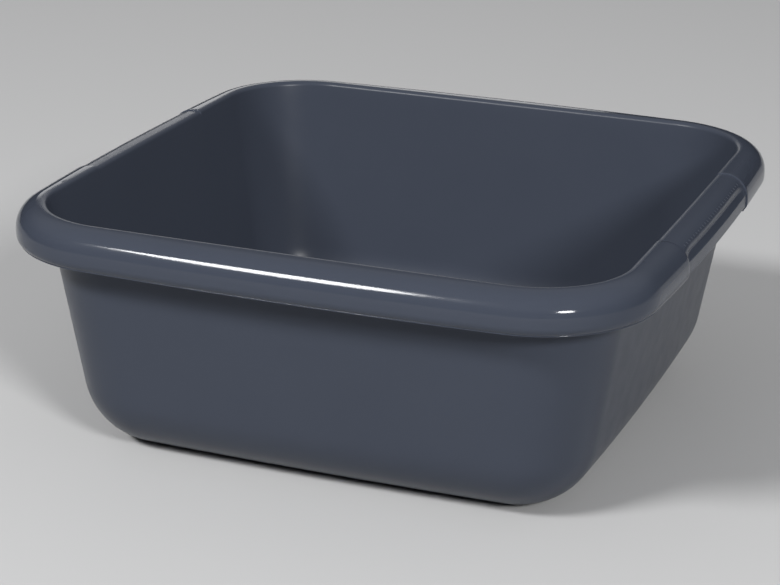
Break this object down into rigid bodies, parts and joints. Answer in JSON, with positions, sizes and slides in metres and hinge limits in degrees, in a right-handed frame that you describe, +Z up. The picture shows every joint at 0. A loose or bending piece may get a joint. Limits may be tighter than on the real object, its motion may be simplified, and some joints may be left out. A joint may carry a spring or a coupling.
{
  "type": "washing up bowl",
  "caption": "Square washing up bowl with tapered walls, a broad rounded rim with a skirt, and a recessed hand grip on the left and right.",
  "frame": {"origin": "under the middle of the bowl, on the plane of the foot ring's lower face", "axes": "+Z up out of the mouth, +X towards the right hand grip, -Y towards the front"},
  "size_m": [0.3792, 0.38, 0.146],
  "materials": {
    "wall_plastic": "gloss",
    "rim_plastic": "gloss"
  },
  "bodies": {
    "root": {"floor_panel": "wall_plastic", "foot_ring": "wall_plastic", "front_wall": "wall_plastic", "right_wall": "wall_plastic", "back_wall": "wall_plastic", "left_wall": "wall_plastic", "front_left_corner": "wall_plastic", "front_right_corner": "wall_plastic", "back_right_corner": "wall_plastic", "back_left_corner": "wall_plastic", "front_rim": "rim_plastic", "back_rim": "rim_plastic", "right_rim_front": "rim_plastic", "right_rim_back": "rim_plastic", "left_rim_front": "rim_plastic", "left_rim_back": "rim_plastic", "front_left_rim": "rim_plastic", "front_right_rim": "rim_plastic", "back_right_rim": "rim_plastic", "back_left_rim": "rim_plastic", "right_grip": "rim_plastic", "right_grip_front_end": "rim_plastic", "right_grip_back_end": "rim_plastic", "right_grip_ribs": "rim_plastic", "left_grip": "rim_plastic", "left_grip_front_end": "rim_plastic", "left_grip_back_end": "rim_plastic", "left_grip_ribs": "rim_plastic"}
  },
  "joints": []
}
